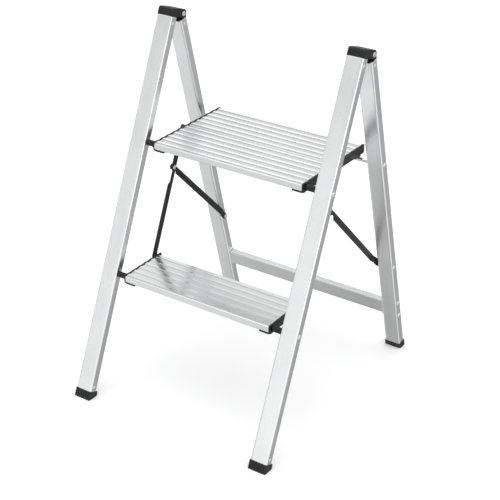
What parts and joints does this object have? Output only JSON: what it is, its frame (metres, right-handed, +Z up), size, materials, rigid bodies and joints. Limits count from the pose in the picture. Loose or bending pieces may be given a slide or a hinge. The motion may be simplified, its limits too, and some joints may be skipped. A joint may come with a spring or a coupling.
{
  "type": "step ladder",
  "caption": "Folding aluminium A-frame step ladder with ribbed treads, black hinge caps and feet, parallel straps and diagonal bars that fold the steps with the frame.",
  "frame": {"origin": "on the floor, under the centre of the open ladder's outline", "axes": "+X the user's right when facing the steps, +Y away from the climbing side, +Z up"},
  "size_m": [0.4992, 0.5884, 0.7846],
  "materials": {
    "stile_aluminium": "bright drawn, clear anodised",
    "tread_aluminium": "ribbed extrusion, satin anodised",
    "brace_aluminium": "satin anodised",
    "cap_plastic": "fine grained black moulding",
    "plate_aluminium": "satin anodised",
    "foot_rubber": "black ribbed rubber",
    "bracket_paint": "black powder coat",
    "link_paint": "black powder coat",
    "bush_plastic": "black moulding",
    "rod_steel": "bright polished steel rod",
    "rivet_steel": "bright rivet heads"
  },
  "bodies": {
    "front_frame": {"front_stile_left": "stile_aluminium", "front_stile_right": "stile_aluminium", "front_cap_left": "cap_plastic", "front_cap_right": "cap_plastic", "front_foot_left": "foot_rubber", "front_foot_right": "foot_rubber", "hinge_pin_left": "rivet_steel", "hinge_pin_right": "rivet_steel", "upper_pivot_rivet_left": "rivet_steel", "upper_pivot_rivet_right": "rivet_steel", "lower_pivot_rivet_left": "rivet_steel", "lower_pivot_rivet_right": "rivet_steel", "front_cap_rivets": "rivet_steel", "front_foot_rivets": "rivet_steel"},
    "rear_frame": {"rear_stile_left": "stile_aluminium", "rear_stile_right": "stile_aluminium", "rear_cap_left": "cap_plastic", "rear_cap_right": "cap_plastic", "rear_foot_left": "foot_rubber", "rear_foot_right": "foot_rubber", "brace_end_plate_left": "plate_aluminium", "brace_end_plate_right": "plate_aluminium", "bar_rivet_left": "rivet_steel", "bar_rivet_right": "rivet_steel", "bar_spacer_left": "bush_plastic", "bar_spacer_right": "bush_plastic", "rear_cap_rivets": "rivet_steel", "cross_brace": "brace_aluminium", "brace_rivets": "rivet_steel", "stop_rod": "rod_steel"},
    "upper_step": {"upper_bracket_left": "bracket_paint", "upper_bracket_right": "bracket_paint", "upper_step_bush_left": "bush_plastic", "upper_step_bush_right": "bush_plastic", "upper_link_bush_left": "bush_plastic", "upper_link_bush_right": "bush_plastic", "rod_saddle_left": "bush_plastic", "rod_saddle_right": "bush_plastic", "upper_front_plank": "tread_aluminium", "upper_rear_plank": "tread_aluminium", "upper_strap_rivets": "rivet_steel", "upper_plank_rivets": "rivet_steel"},
    "lower_step": {"lower_bracket_left": "bracket_paint", "lower_bracket_right": "bracket_paint", "lower_step_bush_left": "bush_plastic", "lower_step_bush_right": "bush_plastic", "lower_link_bush_left": "bush_plastic", "lower_link_bush_right": "bush_plastic", "lower_plank": "tread_aluminium", "lower_strap_rivets": "rivet_steel", "lower_plank_rivets": "rivet_steel"},
    "strap_link_left": {"strap_left": "link_paint", "strap_stud_left": "rivet_steel"},
    "diagonal_link_left": {"diagonal_bar_left": "link_paint", "bar_stud_left": "rivet_steel"},
    "strap_link_right": {"strap_right": "link_paint", "strap_stud_right": "rivet_steel"},
    "diagonal_link_right": {"diagonal_bar_right": "link_paint", "bar_stud_right": "rivet_steel"}
  },
  "joints": [
    {"name": "rear_fold", "type": "hinge", "parent": "front_frame", "child": "rear_frame", "pos_m": [0, 0.08263, 0.7655], "axis": [-1, 0, 0], "range_deg": [0, 37.07]},
    {"name": "upper_step_fold", "type": "hinge", "parent": "front_frame", "child": "upper_step", "pos_m": [0, -0.05462, 0.5222], "axis": [1, 0, 0], "range_deg": [0, 61.54]},
    {"name": "lower_step_fold", "type": "hinge", "parent": "front_frame", "child": "lower_step", "pos_m": [0, -0.16968, 0.2572], "axis": [1, 0, 0], "range_deg": [0, 61.54]},
    {"name": "strap_left_fold", "type": "hinge", "parent": "upper_step", "child": "strap_link_left", "pos_m": [-0.1966, 0.05188, 0.5222], "axis": [1, 0, 0], "range_deg": [-61.54, 0]},
    {"name": "diagonal_left_fold", "type": "hinge", "parent": "rear_frame", "child": "diagonal_link_left", "pos_m": [-0.2011, 0.2187, 0.23517], "axis": [1, 0, 0], "range_deg": [-25.47, 0]},
    {"name": "strap_right_fold", "type": "hinge", "parent": "upper_step", "child": "strap_link_right", "pos_m": [0.1966, 0.05188, 0.5222], "axis": [1, 0, 0], "range_deg": [-61.54, 0]},
    {"name": "diagonal_right_fold", "type": "hinge", "parent": "rear_frame", "child": "diagonal_link_right", "pos_m": [0.2011, 0.2187, 0.23517], "axis": [1, 0, 0], "range_deg": [-25.47, 0]}
  ],
  "couplings": [
    {"joint": "upper_step_fold", "follows": "rear_fold", "ratio": 1.6598},
    {"joint": "lower_step_fold", "follows": "rear_fold", "ratio": 1.6598},
    {"joint": "strap_left_fold", "follows": "rear_fold", "ratio": -1.6598},
    {"joint": "diagonal_left_fold", "follows": "rear_fold", "ratio": -0.68676},
    {"joint": "strap_right_fold", "follows": "rear_fold", "ratio": -1.6598},
    {"joint": "diagonal_right_fold", "follows": "rear_fold", "ratio": -0.68676}
  ]
}
